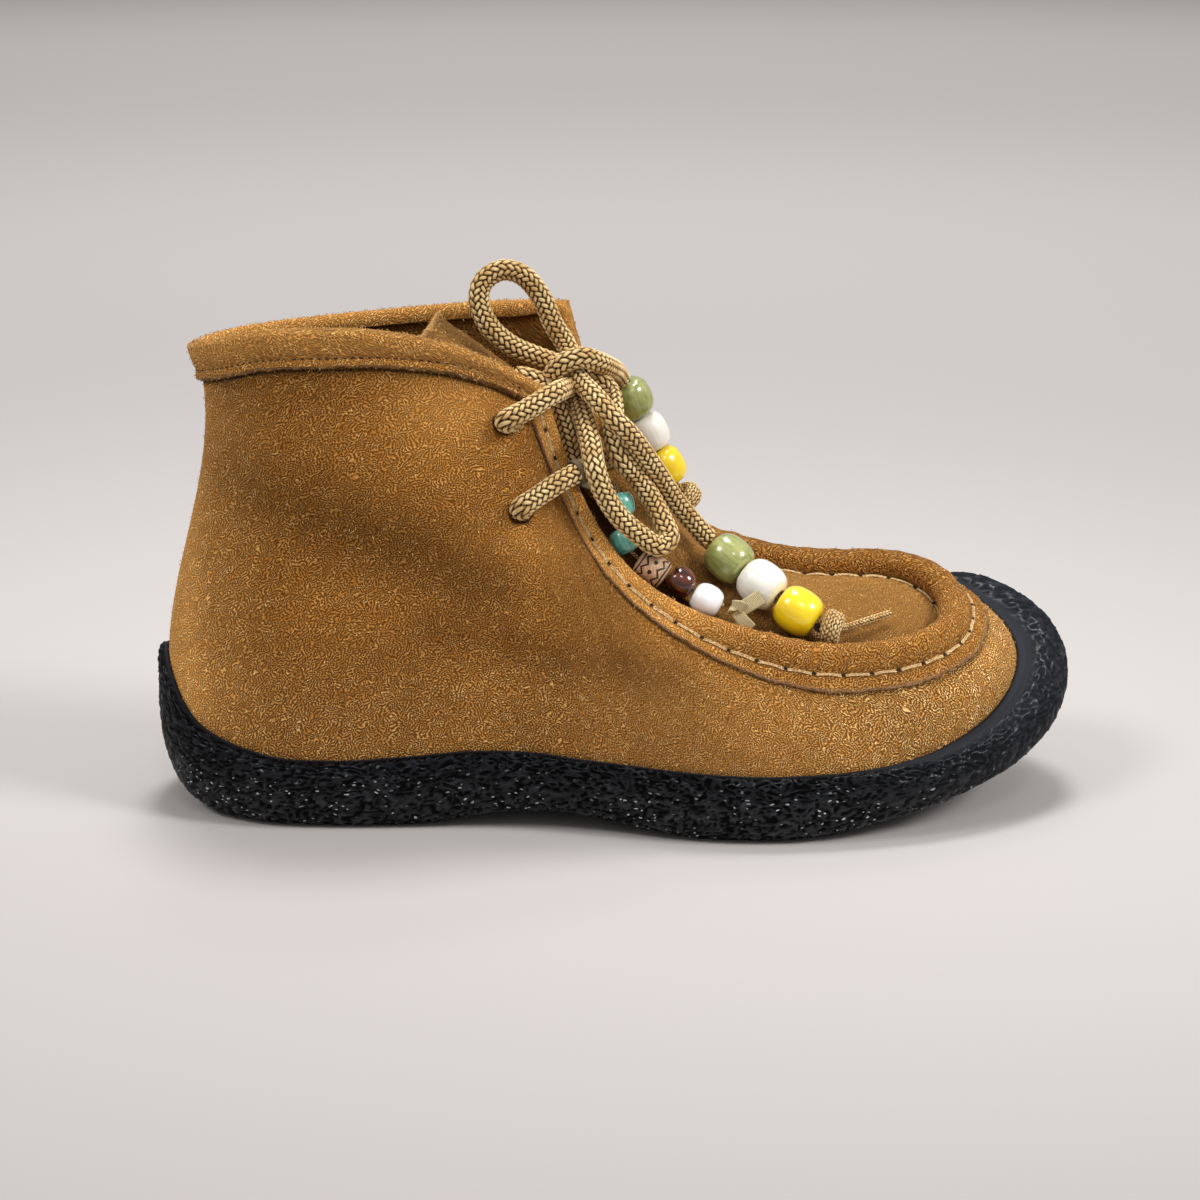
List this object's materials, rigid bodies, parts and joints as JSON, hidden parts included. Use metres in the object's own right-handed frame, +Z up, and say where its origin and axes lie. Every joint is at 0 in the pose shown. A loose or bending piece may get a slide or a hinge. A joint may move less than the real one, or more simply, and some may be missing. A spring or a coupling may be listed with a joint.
{
  "type": "moc-toe ankle boot",
  "caption": "Ankle boot with a suede upper, rolled toe seam and bound collar on a wrap-up rubber sole, tied with a beaded round lace.",
  "frame": {"origin": "on the floor, under the middle of the boot's box", "axes": "+X towards the toe, +Y towards the medial (inner) side of the foot, +Z up"},
  "size_m": [0.277, 0.1016, 0.1638],
  "materials": {
    "suede": "napped, matt",
    "rubber": "pebbled, satin",
    "lining": "matt",
    "lace": "braided, matt",
    "string": "twisted, matt",
    "green_bead": "lacquered, gloss",
    "cream_bead": "lacquered, gloss",
    "yellow_bead": "lacquered, gloss",
    "turquoise": "polished",
    "bone": "carved, satin",
    "brown_bead": "polished, gloss",
    "white_bead": "satin"
  },
  "bodies": {
    "root": {"sole": "rubber", "insole": "lining", "upper": "suede", "apron_tongue": "suede", "moc_band": "suede", "collar_cuff": "suede", "charm_cord": "string", "charm_tie": "string", "charm_turquoise_upper": "turquoise", "charm_turquoise_lower": "turquoise", "charm_bone": "bone", "charm_brown": "brown_bead", "charm_white": "white_bead", "lace_bar": "lace", "lace_strand_lateral": "lace", "lace_strand_medial": "lace", "lace_knot": "lace", "lace_loop_back": "lace", "lace_loop_front": "lace", "lace_end_lateral": "lace", "lace_end_medial": "lace", "lace_tip_lateral": "lace", "lace_tip_medial": "lace", "bead_green_lateral": "green_bead", "bead_cream_lateral": "cream_bead", "bead_yellow_lateral": "yellow_bead", "bead_green_medial": "green_bead", "bead_cream_medial": "cream_bead", "bead_yellow_medial": "yellow_bead"}
  },
  "joints": []
}
